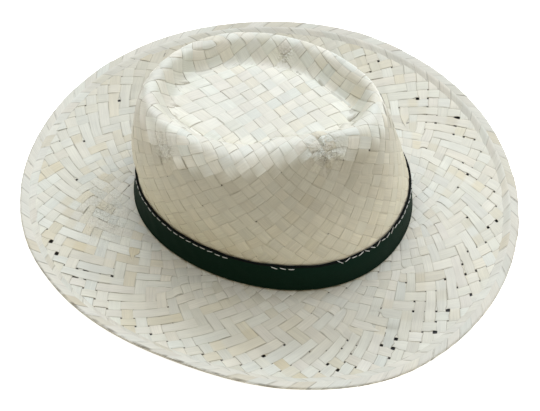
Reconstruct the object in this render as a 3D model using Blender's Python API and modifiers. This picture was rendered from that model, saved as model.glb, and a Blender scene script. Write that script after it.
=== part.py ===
"""Palm leaf hat: a body plaited in one piece, the folded hem of its brim, and a tape band.

Metres, +Z up. The wearer looks along -Y and has +X on the left. The hat rests by its brim on z = 0.
A turn is an angle round the hat in degrees, from the front towards the wearer's left.
"""

import math
from collections import namedtuple

import bmesh
import bpy
from mathutils import Matrix, Vector

# Brim
BRIM_LENGTH = 0.3674
BRIM_WIDTH = 0.3528
BRIM_CURL = 0.027
CURL_POWER = 1.6

# Foot of the crown, where wall and brim meet: an oval a little square at its corners
FOOT_LENGTH = 0.2036
FOOT_WIDTH = 0.1734
FOOT_SQUARENESS = 0.012
FOOT_RISE = 0.0048
FOOT_FORWARD = 0.002
FOOT_LEFT = 0.0018
LEAN_ANGLE_LEFT = math.radians(2.3)
LEAN_ANGLE_BACK = math.radians(1.7)

# Crown
CROWN_HEIGHT = 0.102
DENT_DEPTH = 0.016
DENT_DOME = 0.002
WALL = 0.0014

# Hem and band
CLEARANCE = 0.0003
HEM_WIDTH = 0.012
HEM_THICKNESS = 0.001
BAND_HEIGHT = 0.0234
BAND_THICKNESS = 0.001

# Sections of the crown, as shares: levels of the crest, a spread of the foot, a spread of the dent
SHOULDER_LEVEL = 0.945
WALL_LEVEL = 0.52
LOW_LEVEL = 0.23
LOW_SPREAD = 0.981
DENT_MIDDLE = 0.8

# Sections of the brim, as shares of the way out, and how far inside the hem it has come to rest
BRIM_SHARES = (0.15, 0.32, 0.5, 0.68)
LEVEL_MARGIN = 0.08

# Facets: steps round the hat, and steps along each stretch from the dent's middle to the foot
AROUND = 72
CROWN_STEPS = (2, 3, 4, 4, 3, 2, 2)
BAND_SHARES = (0.0, 0.5, 1.0)
SHARP_ANGLE = math.radians(40)

# One row for each direction. edge is the lift of the brim's edge as a share of BRIM_CURL, and crest the
# height of the ridge as a share of CROWN_HEIGHT. wall, shoulder, ridge and dent are the spreads of the
# crown's sections, as shares of its foot in that direction.
Direction = namedtuple("Direction", "turn edge wall shoulder ridge crest dent")
DIRECTIONS = (
    Direction(0, 0.00, 0.91, 0.78, 0.63, 1.00, 0.50),
    Direction(30, 0.12, 0.91, 0.77, 0.69, 0.99, 0.57),
    Direction(60, 0.24, 0.91, 0.75, 0.66, 0.97, 0.51),
    Direction(90, 0.22, 0.91, 0.76, 0.67, 0.96, 0.52),
    Direction(120, 0.04, 0.92, 0.78, 0.69, 0.96, 0.54),
    Direction(150, 0.00, 0.95, 0.82, 0.72, 0.97, 0.60),
    Direction(180, 0.00, 0.99, 0.88, 0.79, 0.98, 0.69),
    Direction(210, 0.14, 1.01, 0.94, 0.83, 0.99, 0.70),
    Direction(240, 0.71, 0.97, 0.87, 0.71, 0.985, 0.57),
    Direction(270, 1.00, 0.93, 0.78, 0.56, 0.965, 0.46),
    Direction(300, 0.48, 0.83, 0.58, 0.40, 0.955, 0.30),
    Direction(330, 0.00, 0.85, 0.60, 0.44, 0.98, 0.34),
)

# Finishes: linear colour and roughness
PALM_LEAF = ("palm_leaf", (0.62, 0.58, 0.46), 0.55)
PALM_LEAF_BACK = ("palm_leaf_back", (0.60, 0.52, 0.41), 0.6)
GREEN_TAPE = ("green_tape", (0.008, 0.028, 0.018), 0.45)


def around(column, turn):
    """A column of DIRECTIONS at any turn, on a smooth closed curve that never overshoots its rows."""
    count = len(DIRECTIONS)
    index = max(index for index, row in enumerate(DIRECTIONS) if row.turn <= turn % 360)
    share = (turn % 360 - DIRECTIONS[index].turn) / (360 / count)
    value = [getattr(DIRECTIONS[(index + step) % count], column) for step in (-1, 0, 1, 2)]
    rise = [value[1] - value[0], value[2] - value[1], value[3] - value[2]]
    slope = [
        2 * first * second / (first + second) if first * second > 0 else 0.0
        for first, second in zip(rise, rise[1:])
    ]
    return (
        value[1] * (1 + 2 * share) * (1 - share) ** 2
        + value[2] * (3 - 2 * share) * share**2
        + slope[0] * share * (1 - share) ** 2
        - slope[1] * share**2 * (1 - share)
    )


def smooth(points, place):
    """The point at place, counted in stretches, on the smooth curve through the inner points."""
    index = min(int(place), len(points) - 4)
    share = place - index
    before, start, end, after = points[index : index + 4]
    return tuple(
        0.5
        * (
            2 * b
            + (c - a) * share
            + (2 * a - 5 * b + 4 * c - d) * share**2
            + (3 * b - a - 3 * c + d) * share**3
        )
        for a, b, c, d in zip(before, start, end, after)
    )


def crown_sections(turn):
    """Spread and height of each section, from the dent's middle to the foot, with one past each end."""
    crest = CROWN_HEIGHT * around("crest", turn)
    floor = CROWN_HEIGHT - DENT_DEPTH
    dent = around("dent", turn)
    sections = [
        (0.0, floor + DENT_DOME),
        (dent * DENT_MIDDLE, floor + DENT_DOME / 2),
        (dent, floor),
        (around("ridge", turn), crest),
        (around("shoulder", turn), crest * SHOULDER_LEVEL),
        (around("wall", turn), crest * WALL_LEVEL),
        (LOW_SPREAD, CROWN_HEIGHT * LOW_LEVEL),
        (1.0, 0.0),
    ]
    before = (-sections[1][0], sections[1][1])
    after = (2 - LOW_SPREAD, -CROWN_HEIGHT * LOW_LEVEL)
    return [before, *sections, after]


def wall_spread(turn, height):
    """Spread of the wall at a height over the foot, found by halving between shoulder and foot."""
    sections = crown_sections(turn)
    upper, lower = 4.0, 7.0
    for _ in range(30):
        middle = (upper + lower) / 2
        if smooth(sections, middle)[1] > height:
            upper = middle
        else:
            lower = middle
    return smooth(sections, lower)[0]


def oval(turn, length, width):
    """A point of a level oval."""
    angle = math.radians(turn)
    return Vector((width / 2 * math.sin(angle), -length / 2 * math.cos(angle), 0.0))


def crown_point(turn, spread, height, out=0.0):
    """A point of the crown from its spread and its height over the foot, moved out level by out."""
    square = 1 + FOOT_SQUARENESS * (1 - math.cos(math.radians(4 * turn)))
    point = oval(turn, FOOT_LENGTH, FOOT_WIDTH) * spread * square
    point += oval(turn, FOOT_WIDTH, FOOT_LENGTH).normalized() * out
    point.z = height
    lean = Matrix.Rotation(LEAN_ANGLE_LEFT, 3, "Y") @ Matrix.Rotation(-LEAN_ANGLE_BACK, 3, "X")
    return lean @ point + Vector((FOOT_LEFT, -FOOT_FORWARD, WALL + FOOT_RISE))


def leaf_edge(turn):
    """The edge of the leaf inside the fold of the hem, in plan."""
    inset = 2 * (CLEARANCE + HEM_THICKNESS)
    return oval(turn, BRIM_LENGTH - inset, BRIM_WIDTH - inset)


def brim_point(turn, share):
    """A point of the brim's upper face, from the crown's foot at share 0 to the edge at share 1."""
    foot = crown_point(turn, 1.0, 0.0)
    edge = leaf_edge(turn)
    level = min(share / level_share(turn), 1.0)
    settle = 1 - level**2 * (3 - 2 * level)
    point = foot.lerp(edge, share)
    point.z = WALL + (foot.z - WALL) * settle + BRIM_CURL * around("edge", turn) * share**CURL_POWER
    return point


def hem_share(turn):
    """How far out on the brim the hem begins."""
    run = (leaf_edge(turn) - oval(turn, FOOT_LENGTH, FOOT_WIDTH)).length
    return 1 - (HEM_WIDTH - CLEARANCE - HEM_THICKNESS) / run


def level_share(turn):
    """How far out the brim has settled to the level that it rests on, a little inside the hem."""
    return hem_share(turn) - LEVEL_MARGIN


def turns():
    """The turns of the facets' edges."""
    return [360 * step / AROUND for step in range(AROUND)]


def body_rings():
    """Rings of the upper face, from the dent's middle to the edge of the brim."""
    rings = []
    for stretch, steps in enumerate(CROWN_STEPS):
        for step in range(1, steps + 1):
            place = stretch + step / steps
            rings.append([crown_point(turn, *smooth(crown_sections(turn), place)) for turn in turns()])
    for share in BRIM_SHARES:
        rings.append([brim_point(turn, share) for turn in turns()])
    for outer in (level_share, hem_share):
        rings.append([brim_point(turn, outer(turn)) for turn in turns()])
    rings.append([brim_point(turn, 1.0) for turn in turns()])
    return rings


def hem_section(turn):
    """Closed section of the hem: it lies on the brim, folds over the edge and ends level below."""
    inner = brim_point(turn, hem_share(turn))
    edge = brim_point(turn, 1.0)
    out = (edge - inner).normalized()
    along = brim_point(turn + 1, 1.0) - brim_point(turn - 1, 1.0)
    up = out.cross(along).normalized()
    reach = CLEARANCE + HEM_THICKNESS
    return [
        inner + up * CLEARANCE,
        edge + out * CLEARANCE + up * CLEARANCE,
        edge + out * CLEARANCE - up * WALL,
        edge + out * reach - up * WALL,
        edge + out * reach,
        edge + out * CLEARANCE + up * reach,
        inner + up * reach,
    ]


def band_section(turn):
    """Closed section of the band: up its inner face and down its outer one."""
    heights = [CLEARANCE + share * BAND_HEIGHT for share in BAND_SHARES]
    faces = []
    for out, ordered in ((CLEARANCE, heights), (CLEARANCE + BAND_THICKNESS, heights[::-1])):
        for height in ordered:
            faces.append(crown_point(turn, wall_spread(turn, height), height, out))
    return faces


def add_object(name, mesh_maker, finish):
    """A named object in the hat's collection, with its own material."""
    model = bmesh.new()
    mesh_maker(model)
    mesh = bpy.data.meshes.new(name)
    model.to_mesh(mesh)
    model.free()
    mesh.shade_smooth()
    mesh.set_sharp_from_angle(angle=SHARP_ANGLE)
    part = bpy.data.objects.new(name, mesh)
    hat.objects.link(part)
    label, colour, roughness = finish
    material = bpy.data.materials.new(label)
    material.use_nodes = True
    shader = material.node_tree.nodes["Principled BSDF"]
    shader.inputs["Base Color"].default_value = (*colour, 1.0)
    shader.inputs["Roughness"].default_value = roughness
    shader.inputs["Metallic"].default_value = 0.0
    mesh.materials.append(material)
    return part


def bridge(model, first, second):
    """Faces between two closed rows of vertices, an inner and an outer one, turned up."""
    for index in range(len(first)):
        after = (index + 1) % len(first)
        model.faces.new((first[index], second[index], second[after], first[after]))


def make_body(model):
    """The upper face of crown and brim as one open sheet, with every face turned up and out."""
    middle = model.verts.new(crown_point(0, *smooth(crown_sections(0), 0)))
    rows = [[model.verts.new(point) for point in ring] for ring in body_rings()]
    for index, vertex in enumerate(rows[0]):
        model.faces.new((middle, vertex, rows[0][(index + 1) % AROUND]))
    for first, second in zip(rows, rows[1:]):
        bridge(model, first, second)


def make_loop(section):
    """A maker of a closed ring from the section that it has at each turn."""

    def maker(model):
        sections = [[model.verts.new(point) for point in section(turn)] for turn in turns()]
        for index, first in enumerate(sections):
            bridge(model, first, sections[(index + 1) % AROUND])
        bmesh.ops.recalc_face_normals(model, faces=model.faces)

    return maker


for leftover in list(bpy.data.objects):
    bpy.data.objects.remove(leftover)
hat = bpy.data.collections.new("palm_leaf_hat")
bpy.context.scene.collection.children.link(hat)

body = add_object("woven_body", make_body, PALM_LEAF)
thicken = body.modifiers.new("wall", "SOLIDIFY")
thicken.thickness = WALL
thicken.offset = -1
thicken.use_even_offset = True
add_object("folded_hem", make_loop(hem_section), PALM_LEAF_BACK)
add_object("hat_band", make_loop(band_section), GREEN_TAPE)
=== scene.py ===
"""Dresses the palm leaf hat: plaited leaf strips, the folded hem, the tape band and its stitches.

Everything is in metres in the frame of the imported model: +Z is up, the wearer looks along -Y and has
+X on the left. A turn is an angle round the hat in degrees, from the front towards +X. A reach says
how far out a place lies: 0 in the middle of the dent, 1 at the foot of the crown, 2 at the brim's edge.
"""

import logging
import math
from collections.abc import Callable, Mapping, Sequence
from dataclasses import dataclass, field
from enum import Enum
from functools import cache
from typing import NamedTuple

import bmesh
import bpy
import numpy as np
from mathutils import Matrix, Vector


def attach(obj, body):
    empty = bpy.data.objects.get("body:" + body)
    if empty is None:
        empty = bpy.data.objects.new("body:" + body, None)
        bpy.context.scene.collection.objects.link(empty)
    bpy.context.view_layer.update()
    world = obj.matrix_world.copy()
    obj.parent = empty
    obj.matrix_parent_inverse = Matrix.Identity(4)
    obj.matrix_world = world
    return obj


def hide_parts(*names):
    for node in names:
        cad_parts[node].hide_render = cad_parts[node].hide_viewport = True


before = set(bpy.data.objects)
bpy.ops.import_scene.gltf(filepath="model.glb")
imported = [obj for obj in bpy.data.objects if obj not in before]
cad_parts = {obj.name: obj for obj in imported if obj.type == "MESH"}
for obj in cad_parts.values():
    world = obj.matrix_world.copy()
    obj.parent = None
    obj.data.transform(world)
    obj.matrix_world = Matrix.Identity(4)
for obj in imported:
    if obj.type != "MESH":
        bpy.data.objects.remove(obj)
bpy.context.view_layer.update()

logging.basicConfig(level=logging.INFO, format="%(message)s")
log = logging.getLogger("palm_leaf_hat")

BODY = "root"
SHARP_ANGLE = math.radians(38)


class Direction(NamedTuple):
    """The hat's form in one direction: the lift of the brim's edge as a share of its curl, the spreads
    of the crown's sections as shares of its foot, and the crest's height as a share of the crown's."""

    turn: float
    edge: float
    wall: float
    shoulder: float
    ridge: float
    crest: float
    dent: float


DIRECTIONS = (
    Direction(0, 0.00, 0.91, 0.78, 0.63, 1.00, 0.50),
    Direction(30, 0.12, 0.91, 0.77, 0.69, 0.99, 0.57),
    Direction(60, 0.24, 0.91, 0.75, 0.66, 0.97, 0.51),
    Direction(90, 0.22, 0.91, 0.76, 0.67, 0.96, 0.52),
    Direction(120, 0.04, 0.92, 0.78, 0.69, 0.96, 0.54),
    Direction(150, 0.00, 0.95, 0.82, 0.72, 0.97, 0.60),
    Direction(180, 0.00, 0.99, 0.88, 0.79, 0.98, 0.69),
    Direction(210, 0.14, 1.01, 0.94, 0.83, 0.99, 0.70),
    Direction(240, 0.71, 0.97, 0.87, 0.71, 0.985, 0.57),
    Direction(270, 1.00, 0.93, 0.78, 0.56, 0.965, 0.46),
    Direction(300, 0.48, 0.83, 0.58, 0.40, 0.955, 0.30),
    Direction(330, 0.00, 0.85, 0.60, 0.44, 0.98, 0.34),
)


def around(column: str, turns: np.ndarray) -> np.ndarray:
    """Reads a column of DIRECTIONS at any turns, on a smooth closed curve that never overshoots.

    Args:
        column: The name of the column.
        turns: Turns in degrees.

    Returns:
        One value for each turn.
    """
    rows = np.array([getattr(row, column) for row in DIRECTIONS])
    place = (np.asarray(turns) % 360) / (360 / len(rows))
    index = np.floor(place).astype(int) % len(rows)
    share = place - np.floor(place)
    rise = np.roll(rows, -1) - rows
    before = np.roll(rise, 1)
    same_way = rise * before > 0
    slope = np.where(same_way, 2 * rise * before / np.where(same_way, rise + before, 1), 0)
    after = (index + 1) % len(rows)
    return (
        rows[index] * (1 + 2 * share) * (1 - share) ** 2
        + rows[after] * (3 - 2 * share) * share**2
        + slope[index] * share * (1 - share) ** 2
        - slope[after] * share**2 * (1 - share)
    )


def smoothstep(value: np.ndarray) -> np.ndarray:
    """Eases 0 to 1 without a corner at either end."""
    share = np.clip(value, 0, 1)
    return share**2 * (3 - 2 * share)


def unit(vectors: np.ndarray) -> np.ndarray:
    """Scales the vectors in the last axis to length 1."""
    return vectors / np.maximum(np.linalg.norm(vectors, axis=-1, keepdims=True), 1e-12)


def through(rows: Sequence[np.ndarray], share: np.ndarray | float) -> np.ndarray:
    """The point a share of the way from the second to the third of four rows, on a smooth curve."""
    a, b, c, d = rows
    square, cube = 2 * a - 5 * b + 4 * c - d, 3 * b - a - 3 * c + d
    return 0.5 * (2 * b + (c - a) * share + square * share**2 + cube * share**3)


def run_along(points: np.ndarray) -> np.ndarray:
    """Length of the way along rows of points, from 0 at the first one."""
    steps = np.linalg.norm(np.diff(points, axis=-2), axis=-1)
    return np.concatenate([np.zeros((*steps.shape[:-1], 1)), np.cumsum(steps, axis=-1)], axis=-1)


def chart_of(turns: np.ndarray, reach: np.ndarray) -> np.ndarray:
    """Places on the flat map: reach times (sine of the turn, minus its cosine)."""
    angle = np.radians(turns)
    return np.stack([reach * np.sin(angle), -reach * np.cos(angle)], axis=-1)


def turn_and_reach(chart: np.ndarray) -> tuple[np.ndarray, np.ndarray]:
    """Turns and reaches of places on the flat map."""
    turns = np.degrees(np.arctan2(chart[..., 0], -chart[..., 1])) % 360
    return turns, np.hypot(chart[..., 0], chart[..., 1])


class Sector(NamedTuple):
    """A sector of the hat that fades out on both sides of its middle, in degrees."""

    middle: float
    fade: float

    def share(self, turns: np.ndarray) -> np.ndarray:
        """1 in the middle of the sector, and less and less away from it."""
        beyond = (turns - self.middle + 180) % 360 - 180
        return np.exp(-((beyond / self.fade) ** 2))


@dataclass
class HatForm:
    """The smooth outer surface of crown and brim, which every strip, hem and band follows."""

    brim_length: float = 0.3674
    brim_width: float = 0.3528
    brim_curl: float = 0.027
    curl_power: float = 1.6
    foot_length: float = 0.2036
    foot_width: float = 0.1734
    foot_squareness: float = 0.012
    foot_rise: float = 0.0048
    foot_forward: float = 0.002
    foot_left: float = 0.0018
    lean_left: float = math.radians(2.3)
    lean_back: float = math.radians(1.7)
    crown_height: float = 0.102
    dent_depth: float = 0.016
    dent_dome: float = 0.002
    dent_middle: float = 0.8
    shoulder_level: float = 0.945
    wall_level: float = 0.52
    low_level: float = 0.23
    low_spread: float = 0.981
    wall: float = 0.0014
    clearance: float = 0.0003
    hem_width: float = 0.012
    hem_thickness: float = 0.001
    level_margin: float = 0.08
    turn_steps: int = 720
    crown_steps: int = 240
    brim_steps: int = 120
    fine_steps: int = 40
    wall_steps: int = 20
    ridge_section: int = 4
    points: np.ndarray = field(init=False)
    normals: np.ndarray = field(init=False)
    foot_run: np.ndarray = field(init=False)

    def __post_init__(self) -> None:
        """Works out the grid of points, their normals and the way from the dent to the foot."""
        turns = np.arange(self.turn_steps) * 360 / self.turn_steps
        profile = self.profile(turns, 0, self.fine_steps)
        crown = self.crown_point(turns[:, None], profile[..., 0], profile[..., 1])
        run = run_along(crown)
        self.foot_run = run[:, -1]
        even = np.linspace(0, 1, self.crown_steps + 1)
        spread_out = np.empty((len(turns), len(even), 3))
        for row in range(len(turns)):
            for axis in range(3):
                spread_out[row, :, axis] = np.interp(even * run[row, -1], run[row], crown[row, :, axis])
        shares = np.linspace(0, 1, self.brim_steps + 1)[1:]
        brim = self.brim_point(turns[:, None], shares[None, :])
        self.points = np.concatenate([spread_out, brim], axis=1)
        outward = np.gradient(self.points, axis=1)
        onward = np.roll(self.points, -1, axis=0) - np.roll(self.points, 1, axis=0)
        self.normals = unit(np.cross(outward, onward))
        self.normals[:, :2] = unit(self.normals[:, 2].mean(axis=0))

    def crown_sections(self, turns: np.ndarray) -> np.ndarray:
        """Spread and height of each section, from the dent's middle to the foot, one past each end."""
        crest = self.crown_height * around("crest", turns)
        floor = np.full_like(crest, self.crown_height - self.dent_depth)
        dent = around("dent", turns)
        one = np.ones_like(crest)
        low = one * self.crown_height * self.low_level
        pairs = [
            (-dent * self.dent_middle, floor + self.dent_dome / 2),
            (0 * one, floor + self.dent_dome),
            (dent * self.dent_middle, floor + self.dent_dome / 2),
            (dent, floor),
            (around("ridge", turns), crest),
            (around("shoulder", turns), crest * self.shoulder_level),
            (around("wall", turns), crest * self.wall_level),
            (one * self.low_spread, low),
            (one, 0 * one),
            (one * (2 - self.low_spread), -low),
        ]
        return np.array([np.stack(pair, axis=1) for pair in pairs])

    def profile(self, turns: np.ndarray, start: int, steps: int) -> np.ndarray:
        """Follows the smooth curve through the crown's sections down to the foot.

        Args:
            turns: Turns in degrees (n).
            start: Number of the section that it starts at.
            steps: Number of samples from one section to the next.

        Returns:
            Spreads and heights (n, samples, 2).
        """
        sections = self.crown_sections(turns)
        foot = len(sections) - 3
        samples = []
        for place in np.linspace(start, foot, (foot - start) * steps + 1):
            index = min(int(place), foot - 1)
            samples.append(through(sections[index : index + 4], place - index))
        return np.stack(samples, axis=1)

    @staticmethod
    def oval(turns: np.ndarray, length: float, width: float) -> np.ndarray:
        """Points of a level oval."""
        angle = np.radians(turns)
        return np.stack(
            [width / 2 * np.sin(angle), -length / 2 * np.cos(angle), np.zeros_like(angle)], axis=-1
        )

    def crown_point(
        self, turns: np.ndarray, spread: np.ndarray, height: np.ndarray, out: float = 0.0
    ) -> np.ndarray:
        """Points of the crown from spread and height over the foot, moved out level by out."""
        turns, spread, height, out = np.broadcast_arrays(turns, spread, height, out)
        square = 1 + self.foot_squareness * (1 - np.cos(np.radians(4 * turns)))
        point = self.oval(turns, self.foot_length, self.foot_width) * (spread * square)[..., None]
        point = point + unit(self.oval(turns, self.foot_width, self.foot_length)) * out[..., None]
        point[..., 2] = height
        lean = Matrix.Rotation(self.lean_left, 3, "Y") @ Matrix.Rotation(-self.lean_back, 3, "X")
        foot = np.array([self.foot_left, -self.foot_forward, self.wall + self.foot_rise])
        return point @ np.array(lean).T + foot

    def leaf_edge(self, turns: np.ndarray) -> np.ndarray:
        """The edge of the leaf inside the fold of the hem, in plan."""
        inset = 2 * (self.clearance + self.hem_thickness)
        return self.oval(turns, self.brim_length - inset, self.brim_width - inset)

    def hem_share(self, turns: np.ndarray) -> np.ndarray:
        """How far out on the brim the hem begins."""
        foot = self.oval(turns, self.foot_length, self.foot_width)
        run = np.linalg.norm(self.leaf_edge(turns) - foot, axis=-1)
        return 1 - (self.hem_width - self.clearance - self.hem_thickness) / run

    def brim_point(self, turns: np.ndarray, shares: np.ndarray) -> np.ndarray:
        """Points of the brim's upper face, from the crown's foot at share 0 to the edge at share 1."""
        turns, shares = np.broadcast_arrays(turns, shares)
        foot = self.crown_point(turns, np.ones_like(shares), np.zeros_like(shares))
        edge = self.leaf_edge(turns)
        level = np.minimum(shares / (self.hem_share(turns) - self.level_margin), 1)
        settle = 1 - level**2 * (3 - 2 * level)
        point = foot + (edge - foot) * shares[..., None]
        lift = self.brim_curl * around("edge", turns) * np.maximum(shares, 0) ** self.curl_power
        point[..., 2] = self.wall + (foot[..., 2] - self.wall) * settle + lift
        return point

    def at(self, chart: np.ndarray) -> tuple[np.ndarray, np.ndarray]:
        """Reads the surface.

        Args:
            chart: Places on the flat map (..., 2).

        Returns:
            Points and outward normals, both (..., 3).
        """
        turn, reach = turn_and_reach(chart)
        across = turn * self.turn_steps / 360
        crown = np.minimum(reach, 1) * self.crown_steps
        along = crown + np.clip(reach - 1, 0, 1) * self.brim_steps
        row = np.floor(across).astype(int) % self.turn_steps
        column = np.minimum(np.floor(along).astype(int), self.crown_steps + self.brim_steps - 1)
        on_row = (across - np.floor(across))[..., None]
        on_column = (along - column)[..., None]
        after = (row + 1) % self.turn_steps

        def mix(grid: np.ndarray) -> np.ndarray:
            """Reads a grid between its four nearest entries."""
            near = grid[row, column] * (1 - on_column) + grid[row, column + 1] * on_column
            far = grid[after, column] * (1 - on_column) + grid[after, column + 1] * on_column
            return near * (1 - on_row) + far * on_row

        return mix(self.points), unit(mix(self.normals))

    def point(self, turns: np.ndarray, reach: np.ndarray) -> np.ndarray:
        """Points of the surface at turns and reaches."""
        return self.at(chart_of(turns, reach))[0]

    def way_to_foot(self, turns: np.ndarray) -> np.ndarray:
        """Length of the way over the crown from the dent's middle to the foot."""
        steps = np.arange(self.turn_steps + 1) * 360 / self.turn_steps
        return np.interp(turns % 360, steps, np.append(self.foot_run, self.foot_run[0]))

    def turn_of(self, plan_angle: np.ndarray) -> np.ndarray:
        """The turn at which the crown's oval lies in a direction of the plan."""
        angle = np.radians(plan_angle)
        return np.degrees(np.arctan2(np.sin(angle) / self.foot_width, np.cos(angle) / self.foot_length))

    def wall_face(self, turns: np.ndarray, heights: np.ndarray, out: np.ndarray) -> np.ndarray:
        """Points of the crown's wall at heights over the foot, moved out level by out."""
        turns, heights, out = np.broadcast_arrays(turns, heights, out)
        profile = self.profile(turns.ravel(), self.ridge_section, self.wall_steps)
        spread = [np.interp(-h, -line[:, 1], line[:, 0]) for h, line in zip(heights.ravel(), profile)]
        return self.crown_point(turns, np.reshape(spread, turns.shape), heights, out)


FoldIn = Callable[[bool], tuple[int, int]]


class Lean(Enum):
    """Which way a strip leans as it runs outwards."""

    RIGHT = 1
    LEFT = -1


class Weave(Enum):
    """How many strips a strip passes over at a time."""

    PLAIN = 1
    TWILL = 2


@dataclass
class Ring:
    """One round of crossings: its number, the shares round the hat, and the strips that cross there."""

    number: int
    shares: np.ndarray
    right: list[int]
    left: list[int]


@dataclass
class StripTone:
    """The colour of one strip of leaf, as amounts of each tint, and its width."""

    khaki: float
    pink: float
    grey: float
    bright: float
    width: float
    taper: float


class Crumple(NamedTuple):
    """A pinched spot, where the leaf is drawn into a star of small folds."""

    turn: float
    reach: float
    radius: float
    depth: float
    folds: int
    sunk: float = 0.2
    puckered: float = 0.8
    fine_share: float = 0.6
    fine_folds: int = 11

    def away(self, form: HatForm, points: np.ndarray) -> np.ndarray:
        """How far points lie from its middle."""
        return np.linalg.norm(points - form.point(self.turn, self.reach), axis=-1)

    def height(self, form: HatForm, chart: np.ndarray, points: np.ndarray) -> np.ndarray:
        """How far the leaf is puckered out, or pinched in where it is below 0."""
        away = self.away(form, points) / self.radius
        step = chart - chart_of(self.turn, self.reach)
        angle = np.arctan2(step[..., 1], step[..., 0])
        folds = np.cos(self.folds * angle + self.turn)
        folds = folds + self.fine_share * np.cos(self.fine_folds * angle - self.turn)
        star = self.puckered * self.depth * folds * away * np.exp(-(away**2))
        return star - self.sunk * self.depth * np.exp(-((2 * away) ** 2))


CRUMPLES = (
    Crumple(236, 0.525, 0.0085, 0.0013, 8),
    Crumple(328, 0.40, 0.0105, 0.0019, 7),
    Crumple(103, 0.32, 0.0045, 0.0003, 7),
)


@dataclass(frozen=True)
class PaintedLeafShade:
    """Painted shade and painted light on the leaf, by zone: painted light on the crown's ridge and top,
    painted shade down the wall and on the brim, tinted warm where it is shaded.
    """

    foot_ring: int
    # Where the painted shade of the wall begins, moved in at the pinch and out at the rounding.
    ridge_reach: float = 0.47
    top_from: int = 4
    top_reach: float = 0.5
    fade: float = 0.06
    pinch: Sector = Sector(308, 30)
    pinch_reach: float = 0.115
    pinch_top: float = 0.1
    rounding: Sector = Sector(234, 22)
    rounding_reach: float = 0.06
    # Painted light on the top, painted shade down the wall (painted light near its foot), painted shadow of
    # the crown on the brim round turn 290, painted shade on the brim round turn 125.
    painted_top_light: float = -0.05
    painted_wall_shade: tuple[float, float] = (0.27, -0.18)
    near: Sector = Sector(290, 48)
    painted_near_shadow: float = 0.18
    near_to: int = 42
    far: Sector = Sector(125, 47)
    painted_far_shade: float = 0.24
    # Khaki tint painted where the wall and the brim are shaded, as warm shade.
    painted_wall_warmth: float = 0.6
    painted_brim_warmth: float = 2.0

    def at(self, chart: np.ndarray, ring: np.ndarray) -> tuple[np.ndarray, np.ndarray]:
        """How much painted shade darkens the leaf along a strip, and how much painted warm shade yellows
        it.

        Args:
            chart: Places on the flat map (n, 2).
            ring: Ring numbers (n).

        Returns:
            The share of painted shade it is darker by (below 0 it is painted light), and the share of khaki
            added as painted warm shade (both n).
        """
        turn, reach = turn_and_reach(chart)
        pinched, rounded = self.pinch.share(turn), self.rounding.share(turn)
        beyond = reach - self.ridge_reach + self.pinch_reach * pinched - self.rounding_reach * rounded
        on_wall = smoothstep(beyond / self.fade) * smoothstep((self.foot_ring + 1 - ring) / 2)
        near = self.near.share(turn) * smoothstep((self.near_to - ring) / 6)
        within = self.top_reach - self.pinch_top * pinched - reach
        on_top = smoothstep((ring - self.top_from) / 3) * smoothstep(within / self.fade)
        high, low = self.painted_wall_shade
        down = high + (low - high) * smoothstep((reach - 0.5) / 0.5)
        # Painted light and shade on the crown, then painted shadow and shade on the brim.
        on_crown = self.painted_top_light * on_top + down * on_wall
        on_brim = smoothstep((ring - self.foot_ring) / 2)
        on_brim = on_brim * (self.painted_near_shadow * near + self.painted_far_shade * self.far.share(turn))
        return on_crown + on_brim, self.painted_wall_warmth * on_wall + self.painted_brim_warmth * on_brim


# Where a strip is sampled from one crossing to the next, as shares of the way: where it dives below
# the next strip, where it stays on the same side, and where the hat itself bends.
DIVE_STEPS = (0.0, 0.3, 0.42, 0.5, 0.58, 0.7)
FLOAT_STEPS = (0.0, 0.3, 0.5, 0.7)
BENT_STEPS = (0.0, 0.1, 0.2, 0.3, 0.4, 0.5, 0.6, 0.7, 0.8, 0.9)
# The corners of a strip's section: their places across it, the first six on its outer face, and the
# ones at its two sides.
ACROSS_STRIP = np.array([-0.5, -0.42, -0.14, 0.14, 0.42, 0.5, 0.5, 0.0, -0.5])
# The corners painted with shade along the strip's sides.
EDGE_SHADE_CORNERS = (0, 5, 6, 8)


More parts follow.
